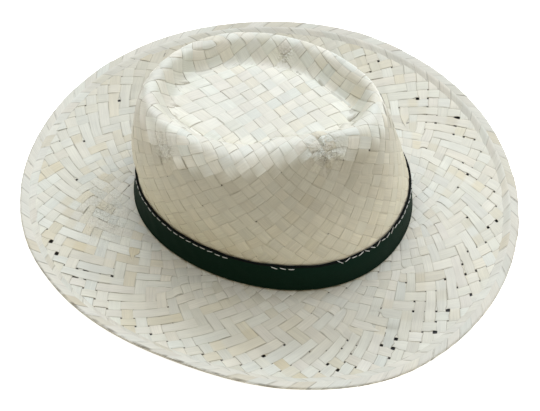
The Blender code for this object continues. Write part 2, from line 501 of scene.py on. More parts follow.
@dataclass
class PlaitedBody:
    """The crown and brim: strips of palm leaf that cross at right angles, plaited in one piece.

    The plait begins as a flat square in the middle of the dent. Its four corners turn it down into
    the wall, and folded strips are laid in where the brim grows wider.
    """

    form: HatForm
    strip_width: float = 0.0088
    strip_thickness: float = 0.00024
    crossing_depth: float = 0.00015
    top_pitch: float = 0.0087
    top_angle: float = -28.5
    corner_ring: int = 10
    foot_ring: int = 28
    rings_to_foot: float = 30.0
    flat_rings: int = 3
    foot_steps: int = 1440
    wall_inserts: tuple[tuple[int, int], ...] = ((15, 4), (21, 4))
    brim_inserts: tuple[int, ...] = (6, 6, 5, 4, 4, 3, 2, 2, 0, 0, 0, 0, 0, 0)
    insert_scatter: float = 0.25
    insert_sides: tuple[float, float] = (0.32, 0.68)
    evening_rounds: int = 4
    uneven: float = 0.012
    twill_from: int = 33
    twill_to: int = 38
    fill: float = 0.98
    least_fill: float = 0.965
    holes_from: int = 37
    hole_rare: float = 0.02
    hole_share: float = 0.5
    hole_turn: float = 8.0
    hole_behind: float = 0.15
    hole_least: float = 0.0002
    hole_size: float = 0.0009
    hole_spread: float = 0.0026
    slit: tuple[float, float, float] = (243.0, 1.5, 0.0012)
    seed: int = 11
    crown_to: int = 27
    zones: tuple[tuple[str, int], ...] = (
        ("crown_top_plait", 13),
        ("crown_wall_plait", 27),
        ("brim_plait", 34),
        ("brim_edge_plait", 99),
    )
    tuck: float = 1.15
    end_tuck: float = 0.5
    tuck_depth: float = 1.5
    taper: float = 0.07
    lift: float = 0.00009
    tilt: float = 0.00007
    edge_drop: float = 0.00006
    bent_to: int = 14
    khaki_strips: float = 0.12
    tinted_strips: float = 0.27
    khaki: tuple[float, float] = (0.3, 0.7)
    pale_khaki: tuple[float, float] = (0.0, 0.25)
    pink: tuple[float, float] = (0.2, 0.6)
    pale_pink: tuple[float, float] = (0.0, 0.2)
    bright_change: float = 0.022
    width_change: float = 0.03
    tapers: tuple[float, float] = (0.5, 1.5)
    shade_change: float = 0.024
    stained: float = 0.09
    stain: tuple[float, float] = (0.15, 0.55)
    crown_tint: float = 0.45
    papery: float = 0.65
    papery_reach: tuple[float, float] = (1.3, 0.2)
    papery_turn: Sector = Sector(216, 15)
    crumpled_spread: float = 1.2
    # How much of the painted shade along the sides is left out where the painted warm shade is, and on
    # crumples.
    faded_edge_shade: tuple[float, float] = (0.7, 0.6)
    crossings: list[tuple[int, int, int]] = field(init=False, default_factory=list)
    paths: list[list[int]] = field(init=False, default_factory=list)
    path_of: dict[int, int] = field(init=False, default_factory=dict)
    ways: dict[tuple[int, int], np.ndarray] = field(init=False, default_factory=dict)
    reaches: dict[int, float] = field(init=False, default_factory=dict)
    chart_places: np.ndarray = field(init=False)
    hole_spots: np.ndarray = field(init=False)
    hole_sizes: np.ndarray = field(init=False)

    def ease(self, ring: int) -> float:
        """How far a ring has changed from the flat square's lattice to level rounds."""
        return float(smoothstep((ring - self.flat_rings) / (self.corner_ring + 1)))

    def even_turns(self, shares: np.ndarray) -> np.ndarray:
        """Turns that divide the way round the crown's foot evenly, from the first corner on."""
        start = float(self.form.turn_of(np.array(self.top_angle)))
        turns = start + np.linspace(0, 360, self.foot_steps + 1)
        run = run_along(self.form.oval(turns, self.form.foot_length, self.form.foot_width))
        return np.interp(shares % 1, run / run[-1], turns)

    def set_reaches(self, counts: list[int]) -> None:
        """Works out how far out each ring lies, so that the cells of the brim stay square.

        Args:
            counts: The number of crossings in each ring of the brim.
        """
        self.reaches = {n: 1 - (self.foot_ring - n) / self.rings_to_foot for n in range(self.foot_ring + 1)}
        form = self.form
        inner = (form.foot_length + form.foot_width) / 4
        outer = (form.brim_length + form.brim_width) / 4
        radius = inner
        for step, count in enumerate(counts):
            radius += math.pi * radius / count
            self.reaches[self.foot_ring + 1 + step] = 1 + (radius - inner) / (outer - inner)

    def places(self, ring: int, shares: np.ndarray) -> np.ndarray:
        """Places of crossings on the flat map.

        Args:
            ring: Number of the ring.
            shares: Shares round the hat.

        Returns:
            An array (crossings, 2).
        """
        form = self.form
        even = self.even_turns(shares)
        reach = np.full(len(shares), self.reaches[ring])
        ease = self.ease(ring)
        if ease < 1:
            quarter = shares * 4
            side = quarter - np.floor(quarter)
            angle = self.top_angle + 90 * np.floor(quarter) + np.degrees(np.arctan2(side, 1 - side))
            lattice = form.turn_of(angle)
            apart = (lattice - even + 180) % 360 - 180
            turns = even + (1 - ease) * apart
            square = min(ring, self.corner_ring) * np.hypot(side, 1 - side)
            square += max(ring - self.corner_ring, 0) / math.sqrt(2)
            flat = self.top_pitch * square / form.way_to_foot(turns)
            reach = flat * (1 - ease) + reach * ease
            even = turns
        return chart_of(even, reach)

    def plait(self) -> None:
        """Lays out every crossing and the strips through them."""
        rng = np.random.default_rng(self.seed)
        strips: list[list[int]] = []
        joined: dict[int, int] = {}

        def new_strip() -> int:
            """Starts a strip and returns its number."""
            strips.append([])
            return len(strips) - 1

        def fold_in(straight: bool) -> tuple[int, int]:
            """Lays in one strip with a leg each way, and returns its left and right legs."""
            left, right = new_strip(), new_strip()
            if straight:
                joined[left] = right
            return left, right

        legs = [fold_in(True) for _ in range(4)]
        right, left = [pair[1] for pair in legs], [pair[0] for pair in legs]
        ring = Ring(1, (np.arange(4) + 0.5) / 4, right, left[1:] + left[:1])
        brim_counts = []
        count = 4 * self.corner_ring + sum(added for _, added in self.wall_inserts)
        for added in self.brim_inserts:
            count += added
            brim_counts.append(count)
        self.set_reaches(brim_counts)
        last = self.foot_ring + len(self.brim_inserts)
        rows: list[np.ndarray] = []
        total = 0
        while True:
            places = self.places(ring.number, ring.shares)
            rows.append(places)
            for index in range(len(ring.shares)):
                self.crossings.append((ring.number, ring.right[index], ring.left[index]))
                strips[ring.right[index]].append(total + index)
                strips[ring.left[index]].append(total + index)
            total += len(ring.shares)
            if ring.number == last:
                break
            ring = self.next_ring(ring, self.gaps_to_fill(ring, rng), fold_in, rng)
        self.chart_places = np.concatenate(rows)
        self.join_legs(strips, joined)

    def join_legs(self, strips: list[list[int]], joined: dict[int, int]) -> None:
        """Makes one path of each strip, and notes which way it runs at each crossing.

        Args:
            strips: The crossings that each leg passes, from the middle of the hat outwards.
            joined: For each left leg that runs straight on into a right leg, the number of that leg.
        """
        mates = set(joined.values())
        for number, strip in enumerate(strips):
            if number in mates:
                continue
            mate = joined.get(number, number)
            self.path_of[number] = self.path_of[mate] = len(self.paths)
            self.paths.append(strip if mate == number else strip[::-1] + strips[mate])
        for number, path in enumerate(self.paths):
            for crossing, way in zip(path, np.gradient(self.chart_places[path], axis=0)):
                self.ways[number, crossing] = way

    def gaps_to_fill(self, ring: Ring, rng: np.random.Generator) -> set[int]:
        """Gaps of a ring that a folded strip is laid into before the next one."""
        count = len(ring.shares)
        if ring.number < self.corner_ring:
            return {ring.number * side - 1 for side in (1, 2, 3, 4)}
        number = dict(self.wall_inserts).get(ring.number, 0)
        if ring.number >= self.foot_ring:
            number = self.brim_inserts[ring.number - self.foot_ring]
        start = rng.uniform(0, count)
        scatter = rng.uniform(-self.insert_scatter, self.insert_scatter, number)
        spots = start + (np.arange(number) + scatter) * count / max(number, 1)
        return {int(spot) % count for spot in spots}

    def next_ring(self, ring: Ring, gaps: set[int], fold_in: FoldIn, rng: np.random.Generator) -> Ring:
        """The next ring outwards.

        Args:
            ring: The ring before it.
            gaps: Gaps of that ring that take a folded strip.
            fold_in: Makes the two legs of such a strip.
            rng: Source of the small unevenness.

        Returns:
            A ring whose crossings lie between those of the ring before.
        """
        count = len(ring.shares)
        flat = ring.number < self.corner_ring
        entries = []
        for gap in range(count):
            after = (gap + 1) % count
            start = ring.shares[gap]
            width = (ring.shares[after] - start) % 1 or 1.0
            right, left = ring.right[gap], ring.left[after]
            if gap in gaps:
                new_left, new_right = fold_in(flat)
                near_side, far_side = self.insert_sides
                entries.append(((start + width * near_side) % 1, right, new_left))
                entries.append(((start + width * far_side) % 1, new_right, left))
            else:
                entries.append(((start + width * 0.5) % 1, right, left))
        entries.sort(key=lambda entry: entry[0])
        number = ring.number + 1
        shares = np.array([entry[0] for entry in entries])
        if number <= self.corner_ring:
            shares = (np.arange(len(entries)) + 0.5) / len(entries)
        else:
            for _ in range(self.evening_rounds):
                before = np.roll(shares, 1)
                before[0] -= 1
                ahead = np.roll(shares, -1)
                ahead[-1] += 1
                shares = shares * 0.5 + (before + ahead) * 0.25
            shares = shares + rng.normal(0, self.uneven, len(shares)) / len(shares)
        return Ring(number, shares, [entry[1] for entry in entries], [entry[2] for entry in entries])

    def open_holes(self) -> None:
        """Picks the corners between crossings where the strips leave a hole, most of them near the hem."""
        rng = np.random.default_rng(self.seed + 3)
        rings = np.array([ring for ring, _, _ in self.crossings])
        spots, sizes = [], []
        for ring in range(self.corner_ring, rings.max()):
            turns, reach = turn_and_reach(self.chart_places[np.flatnonzero(rings == ring)])
            turns = np.sort(turns)
            middles = (turns + np.diff(np.append(turns, turns[0] + 360)) / 2) % 360
            near_hem = smoothstep((ring - self.holes_from + 2) / 3.0)
            facing = smoothstep(0.5 + 0.9 * np.cos(np.radians(middles - self.hole_turn)))
            facing = self.hole_behind + (1 - self.hole_behind) * facing
            chance = self.hole_rare + self.hole_share * near_hem * facing
            picked = middles[rng.random(len(middles)) < chance]
            spots.append(self.form.point(picked, reach.mean()))
            extra = self.hole_least + self.hole_size * near_hem
            sizes.append(self.hole_least + extra * rng.random(len(picked)) ** 2)
        turn, reach, size = self.slit
        spots.append(self.form.point(np.array([turn]), reach))
        sizes.append(np.array([size]))
        self.hole_spots, self.hole_sizes = np.concatenate(spots), np.concatenate(sizes)

    def drawn_in(self, edge: np.ndarray, width: np.ndarray) -> np.ndarray:
        """The share of its half width that a strip keeps on one side, where it runs past holes."""
        away = np.linalg.norm(edge[:, None] - self.hole_spots[None], axis=-1) / self.hole_spread
        return 1 - 2 * (self.hole_sizes * np.exp(-(away**4))).sum(axis=1) / width

    def right_is_over(self, ring: int) -> bool:
        """Whether the right-leaning strips lie on top at a ring."""
        weave = Weave.TWILL if self.twill_from <= ring <= self.twill_to else Weave.PLAIN
        step = (ring - self.twill_from) // weave.value
        return (step + self.twill_from) % 2 == 0

    def strip_tones(self) -> list[StripTone]:
        """A tone and width for each path."""
        rng = np.random.default_rng(self.seed + 1)
        tones = []
        for _ in self.paths:
            kind = rng.random()
            is_khaki, is_pink = kind < self.khaki_strips, self.khaki_strips <= kind < self.tinted_strips
            khaki = rng.uniform(*(self.khaki if is_khaki else self.pale_khaki))
            pink = rng.uniform(*(self.pink if is_pink else self.pale_pink))
            grey, bright = rng.uniform(0, 1), rng.normal(1, self.bright_change)
            width, taper = rng.normal(1, self.width_change), rng.uniform(*self.tapers)
            tones.append(StripTone(khaki, pink, grey, bright, width, taper))
        return tones

    def crossings_of(self, number: int) -> tuple[np.ndarray, np.ndarray, np.ndarray]:
        """How a path passes its crossings.

        Args:
            number: Number of the path.

        Returns:
            Places on the flat map (n, 2), the step to the next strip beside it (n, 2), and 1 for over
            or -1 for under (n).
        """
        path = self.paths[number]
        places = self.chart_places[path]
        across = np.empty_like(places)
        side = np.empty(len(path))
        for index, crossing in enumerate(path):
            ring, right, left = self.crossings[crossing]
            is_right = self.path_of[right] == number
            other = self.path_of[left] if is_right else self.path_of[right]
            own, way = self.ways[number, crossing], self.ways[other, crossing]
            across[index] = way if own[0] * way[1] - own[1] * way[0] > 0 else -way
            side[index] = 1 if self.right_is_over(ring) == is_right else -1
        return places, across, side

    def crumpled(self, chart: np.ndarray, points: np.ndarray) -> np.ndarray:
        """How crumpled the leaf is: most at the crumples, a little on one papery patch of the brim."""
        turn, reach = turn_and_reach(chart)
        middle, fade = self.papery_reach
        amount = self.papery * np.exp(-(((reach - middle) / fade) ** 2)) * self.papery_turn.share(turn)
        for crumple in CRUMPLES:
            away = crumple.away(self.form, points) / (self.crumpled_spread * crumple.radius)
            amount = np.maximum(amount, np.exp(-(away**2)))
        return amount

    def spots(self, rings: np.ndarray, side: np.ndarray) -> np.ndarray:
        """Where a strip is sampled, counted in crossings from its first one.

        Args:
            rings: Ring number at each crossing.
            side: 1 for over or -1 for under at each crossing.

        Returns:
            The places, from the end that is tucked in to the other one.
        """
        tuck = self.tuck if rings[0] < rings[-1] else self.end_tuck
        spots = [-tuck, -tuck / 2]
        for span in range(len(rings) - 1):
            steps = DIVE_STEPS if side[span] != side[span + 1] else FLOAT_STEPS
            if abs(rings[span] + rings[span + 1] - 2 * self.foot_ring) < 4 or rings[span] < self.bent_to:
                steps = BENT_STEPS
            spots += [span + step for step in steps]
        last = len(rings) - 1
        return np.array(spots + [last, last + self.end_tuck / 2, last + self.end_tuck])

    def strip(self, number: int, tone: StripTone, rng: np.random.Generator) -> dict[str, np.ndarray]:
        """One strip's closed sections from end to end.

        Args:
            number: Number of the path.
            tone: Colour and width of the strip.
            rng: Source of the small lifts, tilts and changes of shade.

        Returns:
            Arrays by name: sections (samples, 9, 3), place, tone (with painted shade) and rim (painted
                shade along the sides, and crumpling) of each corner, and the ring number at each sample.
        """
        form = self.form
        places, across, side = self.crossings_of(number)
        count = len(places)
        rings = np.array([self.crossings[c][0] for c in self.paths[number]], dtype=float)
        lifts = np.where(side > 0, rng.exponential(self.lift, count), 0)
        tilts = rng.normal(0, self.tilt, count) * (side > 0)
        shades = rng.normal(0, self.shade_change, count)
        stains = np.where(rng.random(count) < self.stained, rng.uniform(*self.stain, count), 0)
        spots = self.spots(rings, side)
        first = np.clip(np.floor(spots).astype(int), 0, count - 2)
        share = spots - first
        eased = smoothstep((share - 0.3) / 0.4)
        tucked = smoothstep((-0.35 - share) / 0.3)

        def blend(values: np.ndarray) -> np.ndarray:
            """Changes from one crossing's value to the next one's between them."""
            return values[first] * (1 - eased) + values[first + 1] * eased

        middle = self.curve(places, first, share)
        beside = self.curve(across, first, np.clip(share, 0, 1))
        centre = form.at(middle)[0]
        chord = form.at(middle + beside / 2)[0] - form.at(middle - beside / 2)[0]
        pitch = np.linalg.norm(np.cross(chord, unit(np.gradient(centre, axis=0))), axis=1)
        ring_at = rings[first] + (rings[first + 1] - rings[first]) * share
        taper = 1 - self.taper * tone.taper * smoothstep((ring_at - self.twill_from) / 8)
        fill = np.minimum(self.fill, self.strip_width * tone.width * taper / np.maximum(pitch, 1e-5))
        fill = np.where(ring_at < self.twill_from, np.maximum(fill, self.least_fill), fill)
        wide = (beside * fill[:, None])[:, None]
        face = form.at(middle[:, None] + ACROSS_STRIP[None, :, None] * wide)[0]
        kept = [self.drawn_in(face[:, corner], fill * pitch) for corner in (0, 5)]
        kept = np.where(ACROSS_STRIP < 0, kept[0][:, None], kept[1][:, None])
        chart = middle[:, None] + (ACROSS_STRIP * kept)[..., None] * wide
        face, normal = form.at(chart)
        over = blend(side) * (1 - tucked) - self.tuck_depth * tucked
        height = over * self.crossing_depth + blend(lifts) * (1 - tucked) - form.wall / 2
        height = height[:, None] + blend(tilts)[:, None] * ACROSS_STRIP * 2
        half = self.strip_thickness / 2
        edge = half - self.edge_drop
        height = height + np.array([edge, half, half, half, half, edge, -half, -half, -half])
        height = height + sum(crumple.height(form, chart, face) for crumple in CRUMPLES)
        sections = face + normal * height[..., None]
        place = np.zeros(sections.shape)
        place[..., 0] = run_along(centre)[:, None]
        place[..., 1] = ACROSS_STRIP * (fill * pitch)[:, None]
        place[..., 2] = rng.random()
        # Painted shade and painted light by zone, and their painted warm tint.
        painted_shade, painted_warmth = PaintedLeafShade(self.foot_ring).at(middle, ring_at)
        # leaf_rim: painted shade along the strip's sides, the shadow lines between strips; and how crumpled
        # the leaf is.
        rim = np.zeros(sections.shape)
        rim[:, EDGE_SHADE_CORNERS, 0] = 1
        rim[..., 1] = self.crumpled(chart, face)
        on_painted_warmth, on_crumples = self.faded_edge_shade
        rim[..., 0] *= (1 - on_painted_warmth * np.minimum(painted_warmth, 1))[:, None] * (1 - on_crumples * rim[..., 1])
        tinted = self.crown_tint + (1 - self.crown_tint) * smoothstep((ring_at - self.crown_to) / 6)
        khaki = np.minimum(tone.khaki + blend(stains), 1) * tinted
        tones = np.empty((*sections.shape[:2], 4))
        # The khaki share carries the painted warm shade, and the brightness carries the painted shade.
        tones[..., 0] = (khaki + painted_warmth * (1 - khaki))[:, None]
        tones[..., 1], tones[..., 2] = tone.pink, tone.grey
        tones[..., 3] = ((tone.bright + blend(shades)) * (1 - painted_shade))[:, None] * 0.5
        return {
            "sections": sections,
            "leaf_place": place,
            "leaf_tone": tones,
            "leaf_rim": rim,
            "ring": ring_at,
        }

    @staticmethod
    def curve(values: np.ndarray, first: np.ndarray, share: np.ndarray) -> np.ndarray:
        """Reads a smooth curve through rows of values, going straight on past either end."""
        padded = np.concatenate([[2 * values[0] - values[1]], values, [2 * values[-1] - values[-2]]])
        rows = [padded[first + step] for step in range(4)]
        onward = rows[2] - rows[1]
        share = share[:, None]
        point = through(rows, np.clip(share, 0, 1))
        return point + np.where(share < 0, share * onward, 0) + np.where(share > 1, (share - 1) * onward, 0)

    def build(self, leaf: "LeafFinish") -> None:
        """Plaits the strips and makes the crown and the brim of them."""
        self.plait()
        self.open_holes()
        rng = np.random.default_rng(self.seed + 2)
        lows = (-1, *(last for _, last in self.zones[:-1]))
        material = leaf.material()
        heaps = [(MeshHeap(name), low, last) for (name, last), low in zip(self.zones, lows)]
        for number, tone in enumerate(self.strip_tones()):
            strip = self.strip(number, tone, rng)
            ring = strip.pop("ring")
            for heap, low, last in heaps:
                for start, end in stretches((ring >= low) & (ring <= last)):
                    start -= int(start > 0 and ring[start] > low > ring[start - 1])
                    end += int(end < len(ring) and ring[end - 1] > low > ring[end])
                    if end - start > 1:
                        heap.add_tube({name: values[start:end] for name, values in strip.items()})
        for heap, _, _ in heaps:
            heap.finish(material, leaf.slot, ("woven_body",))
def stretches(inside: np.ndarray) -> list[tuple[int, int]]:
    """Start and end of each run of True."""
    edges = np.flatnonzero(np.diff(np.concatenate([[0], inside.astype(int), [0]])))
    return list(zip(edges[::2], edges[1::2]))


class MeshHeap:
    """Collects tubes and loops into one mesh with its attributes."""

    def __init__(self, name: str) -> None:
        """Starts an empty mesh.

        Args:
            name: Name of the piece.
        """
        self.name = name
        self.values: dict[str, list[np.ndarray]] = {}
        self.faces: list[list[int]] = []
        self.count = 0

    def add_tube(self, arrays: dict[str, np.ndarray], closed: bool = False) -> None:
        """Adds a tube through closed sections.

        Args:
            arrays: sections (samples, corners, 3), and attributes (samples, corners, values).
            closed: Whether the last section runs on into the first one.
        """
        samples, corners = arrays["sections"].shape[:2]
        for name, array in arrays.items():
            self.values.setdefault(name, []).append(array.reshape(samples * corners, -1))
        grid = self.count + np.arange(samples * corners).reshape(samples, corners)
        self.count += samples * corners
        after = np.roll(grid, -1, axis=0) if closed else grid[1:]
        grid_from = grid if closed else grid[:-1]
        quads = np.stack(
            [grid_from, np.roll(grid_from, -1, axis=1), np.roll(after, -1, axis=1), after], axis=-1
        )
        self.faces += quads.reshape(-1, 4).tolist()
        if not closed:
            self.faces += [grid[0].tolist(), grid[-1][::-1].tolist()]

    def finish(self, material: bpy.types.Material, slot: str, replaced: tuple[str, ...] = ()) -> None:
        """Makes the piece, and says what it rides on, wears and replaces."""
        mesh = bpy.data.meshes.new(self.name)
        places = np.concatenate(self.values.pop("sections"))
        mesh.from_pydata(places.tolist(), [], self.faces)
        for name, arrays in self.values.items():
            kind = "FLOAT_COLOR" if name.endswith("tone") else "FLOAT_VECTOR"
            attribute = mesh.attributes.new(name, kind, "POINT")
            key = "color" if name.endswith("tone") else "vector"
            attribute.data.foreach_set(key, np.concatenate(arrays).astype(np.float32).ravel())
        work = bmesh.new()
        work.from_mesh(mesh)
        bmesh.ops.recalc_face_normals(work, faces=work.faces)
        work.to_mesh(mesh)
        work.free()
        mesh.shade_smooth()
        mesh.set_sharp_from_angle(angle=SHARP_ANGLE)
        mesh.materials.append(material)
        piece = bpy.data.objects.new(self.name, mesh)
        bpy.context.scene.collection.objects.link(piece)
        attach(piece, BODY)
        if replaced:
            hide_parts(*replaced)
        triangles = sum(len(face) - 2 for face in self.faces)
        log.info("%s: %d triangles", self.name, triangles)


@dataclass
class FoldedHem:
    """The edge of the brim: the strips of both leans folded over, and plaited on the brim."""

    form: HatForm
    count: int = 84
    slant: float = 1.15
    steps: int = 17
    strip_thickness: float = 0.00026
    crossing_depth: float = 0.00016
    weave_run: float = 0.0022
    low: float = -0.0002
    ramp: float = 0.0055
    seam: float = 0.0006
    ragged: float = 0.0002
    lift: float = 0.00004
    edge_drop: float = 0.00006
    fill: tuple[float, float] = (0.985, 0.012)
    shifted: float = 0.02
    bright: tuple[float, float] = (0.5, 0.012)
    khaki_strips: float = 0.12
    khaki: tuple[float, float] = (0.3, 0.9)
    pale: tuple[float, float] = (0.0, 0.2)
    pink: float = 0.35
    # Painted shade on the hem's far side.
    far: Sector = Sector(110, 60)
    painted_far_shade: float = 0.1
    # Painted shade along the strips' sides and in the seam.
    painted_side_shade: float = 0.6
    painted_seam_shade: float = 0.8
    core_tone: tuple[float, float, float, float] = (0.15, 0.5, 0.5, 0.48)
    core_drop: float = 0.8
    seed: int = 5

    def frame_at(self, turns: np.ndarray) -> tuple[np.ndarray, ...]:
        """Inner edge, outer edge, way out and way up of the hem at turns."""
        form = self.form
        inner = form.brim_point(turns, form.hem_share(turns))
        edge = form.brim_point(turns, np.ones_like(turns))
        out = unit(edge - inner)
        ones = np.ones_like(turns)
        along = form.brim_point(turns + 1, ones) - form.brim_point(turns - 1, ones)
        return inner, edge, out, unit(np.cross(out, along))

    def face(self, turns: np.ndarray, way: np.ndarray, raised: np.ndarray) -> np.ndarray:
        """Points of the hem's outer face.

        Args:
            turns: Turns round the hat.
            way: Way from the inner edge over the fold, in metres.
            raised: Distance off the leaf below.

        Returns:
            Points (..., 3).
        """
        turns, way, raised = np.broadcast_arrays(turns, way, raised)
        inner, edge, out, up = self.frame_at(turns)
        leg = np.linalg.norm(edge - inner, axis=-1)
        over = np.maximum(way - leg, 0)
        angle = np.minimum(over / raised, math.pi / 2)
        down = np.maximum(over - raised * math.pi / 2, 0)
        start = inner + (edge - inner) * np.minimum(way / leg, 1)[..., None]
        lifted = up * (np.cos(angle) * raised - down)[..., None]
        return start + lifted + out * (np.sin(angle) * raised)[..., None]

    def build(self, leaf: "LeafFinish") -> None:
        """Makes the plain fold, and the folded strips over it."""
        form = self.form
        reach = form.clearance + form.hem_thickness
        fold = MeshHeap("hem_fold")
        fold.add_tube(self.core(reach - 2 * self.crossing_depth - 1.5 * self.strip_thickness), closed=True)
        strips = MeshHeap("hem_strips")
        rng = np.random.default_rng(self.seed)
        for number in range(2 * self.count):
            strips.add_tube(self.strip(number, reach, rng))
        for heap in (fold, strips):
            heap.finish(leaf.material(), leaf.slot, ("folded_hem",))

    def strip(self, number: int, reach: float, rng: np.random.Generator) -> dict[str, np.ndarray]:
        """One folded strip, from the seam on the brim over the edge to below it.

        Args:
            number: Number of the strip; the odd ones lean to the right.
            reach: Distance from the leaf's middle to the hem's face.
            rng: Source of the small unevenness.

        Returns:
            Arrays by name: sections (steps, 6, 3), place, tone (with painted shade on the far side) and rim
                (painted shade) of each corner.
        """
        form = self.form
        edge = (form.brim_length + form.brim_width) / 4
        pitch = 360 / self.count
        leg = form.hem_width - form.clearance - form.hem_thickness
        way = np.linspace(0.0, leg + reach * math.pi / 2 + form.wall * 0.3, self.steps)
        across = np.array([-0.5, -0.42, 0.42, 0.5, 0.5, -0.5])
        drop, thick = self.edge_drop, self.strip_thickness
        under = np.array([drop, 0, 0, drop, thick, thick])
        half_way = edge * math.radians(pitch) / 2 / self.slant
        changed = smoothstep((way - half_way) / self.weave_run + 0.5)
        lean = (Lean.RIGHT if number % 2 else Lean.LEFT).value
        khaki = rng.uniform(*(self.khaki if rng.random() < self.khaki_strips else self.pale))
        # Brightness with painted shade on the far side of the hem.
        bright = rng.normal(*self.bright) * (1 - self.painted_far_shade * self.far.share(pitch * number / 2))
        tone = [khaki, rng.uniform(0, self.pink), rng.uniform(0, 1), bright]
        fill, uneven = self.fill
        wide = fill + rng.normal(0, uneven)
        middle = pitch * (number / 2 + rng.normal(0, self.shifted))
        middle = middle + lean * self.slant * way * math.degrees(1 / edge)
        raised = reach - self.crossing_depth + abs(rng.normal(0, self.lift)) - under[None, :]
        raised = raised + lean * (1 - 2 * changed[:, None]) * self.crossing_depth
        raised = raised + abs(rng.normal(0, self.ragged)) * smoothstep((way - leg) / reach)[:, None]
        risen = self.low + (raised - self.low) * smoothstep(way / self.ramp)[:, None]
        risen[:, 4:] = np.minimum(risen[:, 4:], risen[:, (3, 0)] - thick * 0.8)
        sections = self.face(middle[:, None] + across * pitch * wide, way[:, None], risen)
        place = np.zeros(sections.shape)
        place[..., 0] = way[:, None] * math.sqrt(2)
        place[..., 1] = across * pitch * math.radians(1) * edge / math.sqrt(2)
        place[..., 2] = rng.random()
        rim = np.zeros(sections.shape)
        # Painted shade on the fold over the edge, in the seam and along the strips' sides.
        folded = smoothstep((way - leg - 0.6 * reach) / reach)
        rim[..., 0] = (folded + self.painted_seam_shade * (way < self.seam))[:, None]
        rim[:, (0, 3, 4, 5), 0] = np.maximum(rim[:, (0, 3, 4, 5), 0], self.painted_side_shade)
        return {
            "sections": sections,
            "leaf_place": place,
            "leaf_tone": np.broadcast_to(tone, (self.steps, 6, 4)).copy(),
            "leaf_rim": rim,
        }

    def core(self, reach: float) -> dict[str, np.ndarray]:
        """The plain fold below the strips, which closes the edge.

        Args:
            reach: Distance from the leaf's middle to the face of the fold.

        Returns:
            Arrays by name: sections (turns, 9, 3), place, tone and rim of each corner.
        """
        form = self.form
        turns = np.arange(360) * 1.0
        inner, edge, out, up = self.frame_at(turns)
        low = form.clearance
        down = form.wall * self.core_drop
        inner = inner + out * self.ramp
        section = [
            inner + up * low,
            edge + up * low,
            edge + out * low,
            edge + out * low - up * down,
            edge + out * reach - up * down,
            edge + out * reach,
            edge + (out + up) * reach * math.sqrt(0.5),
            edge + up * reach,
            inner + up * reach,
        ]
        sections = np.stack(section, axis=1)
        place = np.zeros(sections.shape)
        place[..., 0] = (turns * math.radians(1) * form.brim_length / 2)[:, None]
        tones = np.broadcast_to(self.core_tone, (*sections.shape[:2], 4)).copy()
        rim = np.zeros(sections.shape)
        return {"sections": sections, "leaf_place": place, "leaf_tone": tones, "leaf_rim": rim}


